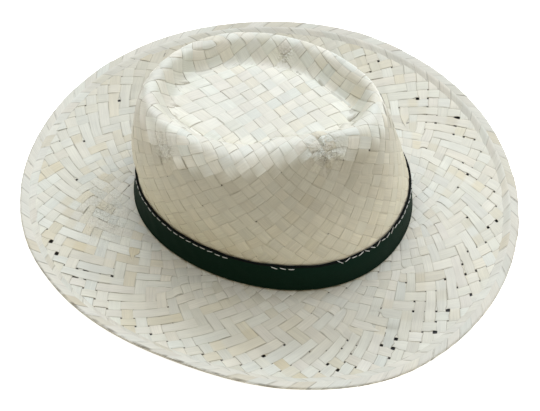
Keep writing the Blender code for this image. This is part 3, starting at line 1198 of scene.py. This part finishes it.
@dataclass
class TapeBand:
    """The dark green tape round the foot of the crown, with its dark border and running stitch."""

    form: HatForm
    height: float = 0.0234
    thickness: float = 0.001
    flare: float = 0.0007
    flare_level: float = 0.15
    border: float = 0.0012
    border_raised: float = 0.0003
    edge_wave: float = 0.0004
    edge_rounds: tuple[int, ...] = (5, 11, 29)
    crease: float = 0.00018
    crease_rounds: tuple[int, ...] = (17, 31, 47)
    crease_slant: float = 9.0
    stitch_drop: float = 0.0021
    loose_drop: float = 0.0009
    loose_stretch: tuple[float, float] = (306.0, 356.0)
    stitch_length: float = 0.0047
    stitch_gap: float = 0.0009
    stitch_radius: float = 0.00028
    stitch_sides: int = 8
    stitch_steps: int = 9
    sunk_stretches: tuple[tuple[float, float], ...] = ((275.0, 291.0), (301.5, 316.0))
    around_steps: int = 360
    height_steps: int = 14
    seed: int = 3

    def wave(self, turns: np.ndarray, rounds: tuple[int, ...], seed: int) -> np.ndarray:
        """A smooth unevenness round the hat, between about -1 and 1."""
        phases = np.random.default_rng(self.seed + seed).uniform(0, 2 * math.pi, len(rounds))
        waves = [np.sin(np.radians(turns * number) + phase) for number, phase in zip(rounds, phases)]
        return sum(waves) / len(rounds) * 1.4

    def face(self, turns: np.ndarray, level: np.ndarray, out: np.ndarray) -> np.ndarray:
        """Points of the tape at a level (0 at its foot, 1 at its top edge), moved out by out."""
        form = self.form
        edge = self.wave(turns, self.edge_rounds, 0) * self.edge_wave
        heights = form.clearance + level * self.height + np.maximum(level - 0.5, 0) * 2 * edge
        crease = self.wave(turns + level * self.crease_slant, self.crease_rounds, 1) * self.crease
        flare = self.flare * np.maximum(1 - level / self.flare_level, 0) ** 2
        pressed = np.where(out > 0, crease * np.sin(math.pi * level) + flare, 0)
        return form.wall_face(turns, heights, form.clearance + out + pressed)

    def build(self, tape: "TapeFinish", thread: "ThreadFinish") -> None:
        """Makes the tape and its stitches."""
        form = self.form
        turns = np.arange(self.around_steps) * 360 / self.around_steps
        levels = np.linspace(0, 1, self.height_steps)
        border = 1 - self.border / self.height
        outer_levels = np.sort(np.concatenate([levels, [border - 0.01, border + 0.03, 0.02, 0.98]]))
        rounded = np.minimum(1, np.sqrt(np.minimum(outer_levels, 1 - outer_levels) * 30 + 0.08))
        raised = np.where(outer_levels > border, self.border_raised, 0.0)
        outs = np.concatenate([np.zeros(len(levels)), (self.thickness * rounded + raised)[::-1]])
        all_levels = np.concatenate([levels, outer_levels[::-1]])
        sections = self.face(turns[:, None], all_levels[None, :], outs[None, :])
        place = np.zeros(sections.shape)
        place[..., 0] = (np.radians(turns) * (form.foot_length + form.foot_width) / 4)[:, None]
        place[..., 1] = all_levels * self.height
        heap = MeshHeap("tape_band")
        heap.add_tube({"sections": sections, "tape_place": place}, closed=True)
        heap.finish(tape.material(self), tape.slot, ("hat_band",))
        self.stitches(thread)

    def stitches(self, thread: "ThreadFinish") -> None:
        """The running stitch below the border: short dashes that dip into the tape at each end."""
        form = self.form
        rng = np.random.default_rng(self.seed + 9)
        spacing = self.stitch_length + self.stitch_gap
        count = round(math.pi * (form.foot_length + form.foot_width) / 2 / spacing)
        step = 360 / count
        heap = MeshHeap("running_stitch")
        ring = np.arange(self.stitch_sides) * 2 * math.pi / self.stitch_sides
        way = np.linspace(-0.5, 0.5, self.stitch_steps)
        bulge = np.sqrt(np.maximum(1 - (way * 2) ** 4, 0.0))
        out = self.thickness + self.stitch_radius * (1.3 * bulge - 0.6)
        radius = self.stitch_radius * (0.35 + 0.65 * bulge)
        start, end = self.loose_stretch
        for number in range(count):
            loose = float(smoothstep(min(number * step - start, end - number * step) / 8))
            drop = self.stitch_drop + (self.loose_drop - self.stitch_drop) * loose
            slope = rng.normal(0, 0.012 + 0.03 * loose)
            turns = (number + way * self.stitch_length / spacing * rng.uniform(0.92, 1.0)) * step
            levels = 1 - drop / self.height + rng.normal(0, 0.006) + slope * way * 2
            if any(low < number * step < high for low, high in self.sunk_stretches):
                continue
            round_levels = levels[:, None] + np.cos(ring) * radius[:, None] / self.height
            round_out = out[:, None] + np.sin(ring) * radius[:, None]
            sections = self.face(turns[:, None] * np.ones(len(ring)), round_levels, round_out)
            place = np.zeros(sections.shape)
            place[..., 0] = (way * self.stitch_length)[:, None]
            place[..., 1] = ring / math.pi * self.stitch_radius
            place[..., 2] = rng.random()
            heap.add_tube({"sections": sections, "tape_place": place})
        heap.finish(thread.material(), thread.slot)


Socket = bpy.types.NodeSocket
Value = Socket | float | tuple[float, ...]


class NodeSheet:
    """Adds nodes to one node tree and joins them."""

    def __init__(self, tree: bpy.types.NodeTree) -> None:
        """Takes the tree to work on."""
        self.tree = tree

    def feed(self, node: bpy.types.Node, inputs: dict[str | int, Value]) -> None:
        """Gives inputs of a node, by name or number, their values or the output sockets they take."""
        for name, value in inputs.items():
            if isinstance(value, Socket):
                self.tree.links.new(value, node.inputs[name])
            else:
                node.inputs[name].default_value = value

    def add(
        self, kind: str, inputs: dict[str | int, Value] | None = None, **settings: object
    ) -> bpy.types.Node:
        """Adds a node.

        Args:
            kind: The node's type, without its ShaderNode prefix.
            inputs: A value or an output socket for each input, by name or number.
            **settings: Values of the node's own properties.

        Returns:
            The new node.
        """
        node = self.tree.nodes.new("ShaderNode" + kind)
        for name, value in settings.items():
            setattr(node, name, value)
        self.feed(node, inputs or {})
        return node

    def math(self, operation: str, *values: Value) -> Socket:
        """Works out a number from others."""
        return self.add("Math", dict(enumerate(values)), operation=operation).outputs[0]

    def mix(self, share: Value, first: Value, second: Value, blend_type: str = "MIX") -> Socket:
        """Mixes two colours, or multiplies the first by the second."""
        inputs = {"Factor": share, 6: first, 7: second}
        return self.add("Mix", inputs, data_type="RGBA", blend_type=blend_type).outputs[2]

    def noise(self, vector: Socket, scale: float, detail: float) -> Socket:
        """Smooth noise at a place."""
        return self.add("TexNoise", {"Vector": vector, "Scale": scale, "Detail": detail}).outputs[0]

    def ramp(self, value: Value, start: float, end: float, low: float = 0.0, high: float = 1.0) -> Socket:
        """Rises from low to high while the value goes from start to end."""
        return self.add("MapRange", {0: value, 1: start, 2: end, 3: low, 4: high}).outputs[0]

    def parts(self, attribute: str) -> list[Socket]:
        """The three numbers of an attribute of the mesh."""
        vector = self.add("Attribute", attribute_name=attribute).outputs["Vector"]
        return list(self.add("SeparateXYZ", {0: vector}).outputs)


def new_group(
    name: str, inputs: dict[str, float], outputs: tuple[str, ...]
) -> tuple[bpy.types.NodeTree, NodeSheet, Mapping[str, Socket], bpy.types.Node]:
    """Starts a shader node group.

    Args:
        name: The group's name.
        inputs: Names and default values of its number inputs.
        outputs: Names of its number outputs.

    Returns:
        The group, its node sheet, the sockets of its inputs by name, and its output node.
    """
    group = bpy.data.node_groups.new(name, "ShaderNodeTree")
    for label, value in inputs.items():
        socket = group.interface.new_socket(label, in_out="INPUT", socket_type="NodeSocketFloat")
        socket.default_value = value
    for label in outputs:
        group.interface.new_socket(label, in_out="OUTPUT", socket_type="NodeSocketFloat")
    given = group.nodes.new("NodeGroupInput").outputs
    return group, NodeSheet(group), given, group.nodes.new("NodeGroupOutput")


@cache
def leaf_veins_group() -> bpy.types.NodeTree:
    """The fine lengthwise veins and the flecks of dried leaf, built once for all leaf."""
    inputs = {"Along": 0.0, "Across": 0.0, "Seed": 0.0, "Vein Width": 0.0006, "Vein Length": 0.03}
    group, sheet, given, put_out = new_group("leaf_veins", inputs, ("Veins", "Patches", "Height"))
    seed = sheet.math("MULTIPLY", given["Seed"], 97.0)
    stretched = sheet.add("CombineXYZ", {
        0: sheet.math("DIVIDE", given["Along"], given["Vein Length"]),
        1: sheet.math("DIVIDE", given["Across"], given["Vein Width"]),
        2: seed,
    })
    broad = sheet.add("CombineXYZ", {
        0: sheet.math("MULTIPLY", given["Along"], 45.0),
        1: sheet.math("MULTIPLY", given["Across"], 160.0),
        2: seed,
    })
    veins = sheet.noise(stretched.outputs[0], 1.0, 2.0)
    patches = sheet.noise(broad.outputs[0], 1.0, 3.0)
    height = sheet.math("ADD", veins, sheet.math("MULTIPLY", patches, 0.8))
    sheet.feed(put_out, {"Veins": veins, "Patches": patches, "Height": height})
    return group


@cache
def leaf_creases_group() -> bpy.types.NodeTree:
    """The sharp little creases of crumpled leaf, built once for all leaf."""
    group, sheet, given, put_out = new_group("leaf_creases", {"Amount": 0.0, "Depth": 16.0}, ("Height",))
    noise = sheet.noise(sheet.add("NewGeometry").outputs["Position"], 330.0, 2.0)
    ridged = sheet.math("ABSOLUTE", sheet.math("SUBTRACT", noise, 0.5))
    depth = sheet.math("MULTIPLY", given["Amount"], given["Depth"])
    height = sheet.math("MULTIPLY", ridged, sheet.math("MULTIPLY", depth, 4.0))
    sheet.feed(put_out, {"Height": height})
    return group


@cache
def fibre_group() -> bpy.types.NodeTree:
    """The cross ribs and loose fibres of tape and thread, built once for both."""
    inputs = {"Along": 0.0, "Across": 0.0, "Rib Spacing": 0.0007, "Slant": 0.0}
    group, sheet, given, put_out = new_group("twisted_fibres", inputs, ("Ribs", "Fuzz", "Height"))
    slanted = sheet.math("MULTIPLY_ADD", given["Across"], given["Slant"], given["Along"])
    turns = sheet.math("DIVIDE", slanted, given["Rib Spacing"])
    wave = sheet.math("SINE", sheet.math("MULTIPLY", turns, 2 * math.pi))
    ribs = sheet.math("MULTIPLY_ADD", wave, 0.5, 0.5)
    spread = sheet.add("CombineXYZ", {
        0: sheet.math("MULTIPLY", given["Along"], 900.0),
        1: sheet.math("MULTIPLY", given["Across"], 900.0),
    })
    fuzz = sheet.noise(spread.outputs[0], 1.0, 3.0)
    sheet.feed(put_out, {"Ribs": ribs, "Fuzz": fuzz, "Height": sheet.math("ADD", ribs, fuzz)})
    return group


def start_material(name: str) -> tuple[bpy.types.Material, NodeSheet, bpy.types.Node]:
    """A new material with its node sheet and Principled BSDF."""
    material = bpy.data.materials.new(name)
    material.use_nodes = True
    return material, NodeSheet(material.node_tree), material.node_tree.nodes["Principled BSDF"]


@dataclass(frozen=True)
class LeafFinish:
    """Dried palm leaf: its tints, the colour of the painted shade along its strips' sides, and how rough
    and how deeply veined it is.
    """

    name: str
    slot: str
    cream: tuple[float, float, float]
    green: tuple[float, float, float]
    khaki: tuple[float, float, float]
    pink: tuple[float, float, float]
    rim: tuple[float, float, float]
    roughness: float
    vein_depth: float = 0.00008
    specular: float = 0.45

    @cache
    def material(self) -> bpy.types.Material:
        """Builds the material, once, from each strip's tone and the place on the strip."""
        material, sheet, shader = start_material(self.name)
        tone = sheet.add("Attribute", attribute_name="leaf_tone")
        khaki, pink, grey = sheet.add("SeparateColor", {0: tone.outputs["Color"]}).outputs
        along, across, seed = sheet.parts("leaf_place")
        # leaf_rim: painted shade along the strips' sides, and how crumpled the leaf is.
        rim, crumpled, _ = sheet.parts("leaf_rim")
        inputs = {"Along": along, "Across": across, "Seed": seed}
        veins = sheet.add("Group", inputs, node_tree=leaf_veins_group()).outputs
        creases = sheet.add("Group", {"Amount": crumpled}, node_tree=leaf_creases_group()).outputs
        patches = veins["Patches"]
        colour = sheet.mix(grey, (*self.cream, 1), (*self.green, 1))
        colour = sheet.mix(pink, colour, (*self.pink, 1))
        colour = sheet.mix(khaki, colour, (*self.khaki, 1))
        lined = sheet.ramp(veins["Veins"], 0.3, 0.7, 0.93, 1.04)
        patched = sheet.ramp(patches, 0.3, 0.7, 0.95, 1.04)
        # The tone's brightness carries the painted shade, and its khaki share the painted warm shade.
        bright = sheet.math("MULTIPLY", tone.outputs["Alpha"], 2.0)
        shade = sheet.math("MULTIPLY", sheet.math("MULTIPLY", lined, patched), bright)
        shade = sheet.add("CombineColor", {0: shade, 1: shade, 2: shade}).outputs[0]
        colour = sheet.mix(1.0, colour, shade, "MULTIPLY")
        # Painted shade along the strips' sides, in patches, multiplied in with the rim colour.
        shade_patches = sheet.ramp(patches, 0.42, 0.6)
        colour = sheet.mix(sheet.math("MULTIPLY", rim, shade_patches), colour, (*self.rim, 1), "MULTIPLY")
        height = sheet.math("ADD", veins["Height"], creases["Height"])
        bump = sheet.add("Bump", {"Strength": 1.0, "Distance": self.vein_depth, "Height": height})
        sheet.feed(shader, {
            "Base Color": colour,
            "Roughness": sheet.math("MULTIPLY_ADD", patches, 0.25, self.roughness - 0.12),
            "Normal": bump.outputs[0],
            "Specular IOR Level": self.specular,
        })
        return material


@dataclass(frozen=True)
class TapeFinish:
    """Dark green woven tape with a satin face and a nearly black border."""

    name: str
    slot: str
    green: tuple[float, float, float]
    border: tuple[float, float, float]
    roughness: float
    specular: float = 0.08
    rib_spacing: float = 0.0008
    border_blur: float = 0.0003
    fuzz_light: float = 1.9

    def material(self, band: TapeBand) -> bpy.types.Material:
        """Builds the material for a band of this tape."""
        material, sheet, shader = start_material(self.name)
        along, across, _ = sheet.parts("tape_place")
        inputs = {"Along": along, "Across": across, "Rib Spacing": self.rib_spacing}
        fibres = sheet.add("Group", inputs, node_tree=fibre_group()).outputs
        start = band.height - band.border
        light = tuple(value * self.fuzz_light for value in self.green)
        colour = sheet.mix(fibres["Fuzz"], (*self.green, 1), (*light, 1))
        dark = sheet.ramp(across, start - self.border_blur, start + self.border_blur)
        colour = sheet.mix(dark, colour, (*self.border, 1))
        bump = sheet.add("Bump", {"Strength": 0.6, "Distance": 0.0001, "Height": fibres["Height"]})
        sheet.feed(shader, {
            "Base Color": colour,
            "Roughness": sheet.math("MULTIPLY_ADD", fibres["Ribs"], 0.12, self.roughness),
            "Normal": bump.outputs[0],
            "Specular IOR Level": self.specular,
        })
        return material


@dataclass(frozen=True)
class ThreadFinish:
    """Off-white sewing thread."""

    name: str
    slot: str
    colour: tuple[float, float, float]
    twist_spacing: float = 0.0006
    painted_groove_shade: float = 0.7
    roughness: float = 0.8

    def material(self) -> bpy.types.Material:
        """Builds the material."""
        material, sheet, shader = start_material(self.name)
        along, across, _ = sheet.parts("tape_place")
        inputs = {"Along": along, "Across": across, "Rib Spacing": self.twist_spacing, "Slant": 1.0}
        fibres = sheet.add("Group", inputs, node_tree=fibre_group()).outputs
        # Painted shade in the grooves of the twist.
        dark = tuple(value * self.painted_groove_shade for value in self.colour)
        bump = sheet.add("Bump", {"Strength": 0.8, "Distance": 0.0001, "Height": fibres["Height"]})
        sheet.feed(shader, {
            "Base Color": sheet.mix(fibres["Ribs"], (*dark, 1), (*self.colour, 1)),
            "Roughness": self.roughness,
            "Normal": bump.outputs[0],
        })
        return material


@dataclass
class Studio:
    """The pale floor, the soft light and the camera at the photograph's angle."""

    azimuth: float = -65.874
    elevation: float = 51.038
    roll: float = 0.884
    distance: float = 1.5010
    target: tuple[float, float, float] = (-0.00503, -0.00303, 0.0)
    lens: float = 136.4
    sensor: float = 36.0
    floor_size: float = 8.0
    floor_glow: float = 0.8
    papers: tuple[float, float] = (0.93, 0.95)
    # Painted shadow under the hat: an oval where the floor is dark and does not glow.
    painted_shadow_middle: tuple[float, float] = (0.008, 0.001)
    painted_shadow_half: tuple[float, float] = (0.173, 0.185)
    lit_from: float = 0.95
    lit_full: float = 0.97
    painted_shadow_tone: float = 0.05
    surround: tuple[float, float, float] = (1.0, 0.86, 0.58)
    surround_power: float = 0.215
    lamp_place: tuple[float, float, float] = (0.92, 0.12, 1.83)
    lamp_colour: tuple[float, float, float] = (0.92, 0.99, 1.14)
    lamp_size: float = 3.0
    lamp_power: float = 63.0

    def build(self) -> None:
        """Sets everything up."""
        self.camera()
        self.floor()
        self.lights()

    def camera(self) -> None:
        """The camera, placed by its angles round the target."""
        a, e, r = (math.radians(value) for value in (self.azimuth, self.elevation, self.roll))
        back = Vector((math.sin(a) * math.cos(e), -math.cos(a) * math.cos(e), math.sin(e)))
        level = Vector((math.cos(a), math.sin(a), 0.0))
        upright = back.cross(level)
        right = level * math.cos(r) + upright * math.sin(r)
        up = upright * math.cos(r) - level * math.sin(r)
        data = bpy.data.cameras.new("camera")
        data.sensor_width = self.sensor
        data.lens = self.lens
        data.clip_start, data.clip_end = 0.05, 50.0
        camera = bpy.data.objects.new("camera", data)
        turned = Matrix((right, up, back)).transposed().to_4x4()
        camera.matrix_world = Matrix.Translation(Vector(self.target) + back * self.distance) @ turned
        bpy.context.scene.collection.objects.link(camera)
        bpy.context.scene.camera = camera

    def floor(self) -> None:
        """A wide pale floor with a painted shadow: dark inside an oval under the hat, glowing and pale
        outside it.
        """
        half = self.floor_size / 2
        corners = [(x * half, y * half, 0) for x, y in ((-1, -1), (1, -1), (1, 1), (-1, 1))]
        mesh = bpy.data.meshes.new("floor")
        mesh.from_pydata(corners, [], [(0, 1, 2, 3)])
        material, sheet, shader = start_material("floor_paper")
        noise = sheet.add("TexNoise", {"Scale": 3.0, "Detail": 2.0}).outputs[0]
        paper = sheet.mix(noise, *((tone, tone, tone, 1) for tone in self.papers))
        place = sheet.add("SeparateXYZ", {0: sheet.add("NewGeometry").outputs["Position"]}).outputs
        # Painted shadow: dark inside the oval under the hat, and glowing only outside it.
        (middle_x, middle_y), (half_x, half_y) = self.painted_shadow_middle, self.painted_shadow_half
        flat = sheet.add("CombineXYZ", {
            0: sheet.math("DIVIDE", sheet.math("SUBTRACT", place[0], middle_x), half_x),
            1: sheet.math("DIVIDE", sheet.math("SUBTRACT", place[1], middle_y), half_y),
        })
        away = sheet.add("VectorMath", {0: flat.outputs[0]}, operation="LENGTH").outputs["Value"]
        clear = sheet.ramp(away, self.lit_from, self.lit_full)
        sheet.feed(shader, {
            "Base Color": sheet.mix(clear, (self.painted_shadow_tone, self.painted_shadow_tone, self.painted_shadow_tone, 1), paper),
            "Emission Color": sheet.mix(clear, (0, 0, 0, 1), (1, 1, 1, 1)),
            "Emission Strength": self.floor_glow,
            "Roughness": 0.9,
        })
        mesh.materials.append(material)
        floor = bpy.data.objects.new("floor", mesh)
        bpy.context.scene.collection.objects.link(floor)

    def lights(self) -> None:
        """A warm surround, and one wide cool lamp above the far side that faces the hat."""
        world = bpy.data.worlds.new("studio")
        world.use_nodes = True
        surround = world.node_tree.nodes["Background"].inputs
        surround[0].default_value = (*self.surround, 1)
        surround[1].default_value = self.surround_power
        bpy.context.scene.world = world
        bpy.context.scene.view_settings.view_transform = "Standard"
        data = bpy.data.lights.new("far_lamp", "AREA")
        data.size = self.lamp_size
        data.energy = self.lamp_power
        data.color = self.lamp_colour
        lamp = bpy.data.objects.new("far_lamp", data)
        lamp.location = self.lamp_place
        lamp.rotation_euler = Vector(self.lamp_place).to_track_quat("Z", "Y").to_euler()
        bpy.context.scene.collection.objects.link(lamp)


PALM_LEAF = LeafFinish(
    name="palm_leaf",
    slot="palm_leaf",
    cream=(0.82, 0.80, 0.68),
    green=(0.77, 0.79, 0.69),
    khaki=(0.725, 0.65, 0.445),
    pink=(0.80, 0.75, 0.63),
    # rim: the colour of the painted shade along the strips' sides.
    rim=(0.44, 0.40, 0.33),
    roughness=0.52,
)
LEAF_BACK = LeafFinish(
    name="palm_leaf_back",
    slot="palm_leaf_back",
    cream=(0.81, 0.78, 0.66),
    green=(0.76, 0.77, 0.67),
    khaki=(0.68, 0.62, 0.46),
    pink=(0.77, 0.71, 0.60),
    # rim: the colour of the painted shade along the strips' sides and on the fold.
    rim=(0.37, 0.35, 0.31),
    roughness=0.58,
)
GREEN_TAPE = TapeFinish(
    name="green_tape",
    slot="green_tape",
    green=(0.0017, 0.0142, 0.0074),
    border=(0.0025, 0.004, 0.0035),
    roughness=0.6,
)
WHITE_THREAD = ThreadFinish(name="sewing_thread", slot="sewing_thread", colour=(0.80, 0.79, 0.72))


def main() -> None:
    """Builds and dresses the hat."""
    Studio().build()
    form = HatForm()
    PlaitedBody(form).build(PALM_LEAF)
    FoldedHem(form).build(LEAF_BACK)
    TapeBand(form).build(GREEN_TAPE, WHITE_THREAD)


if __name__ == "__main__":
    main()
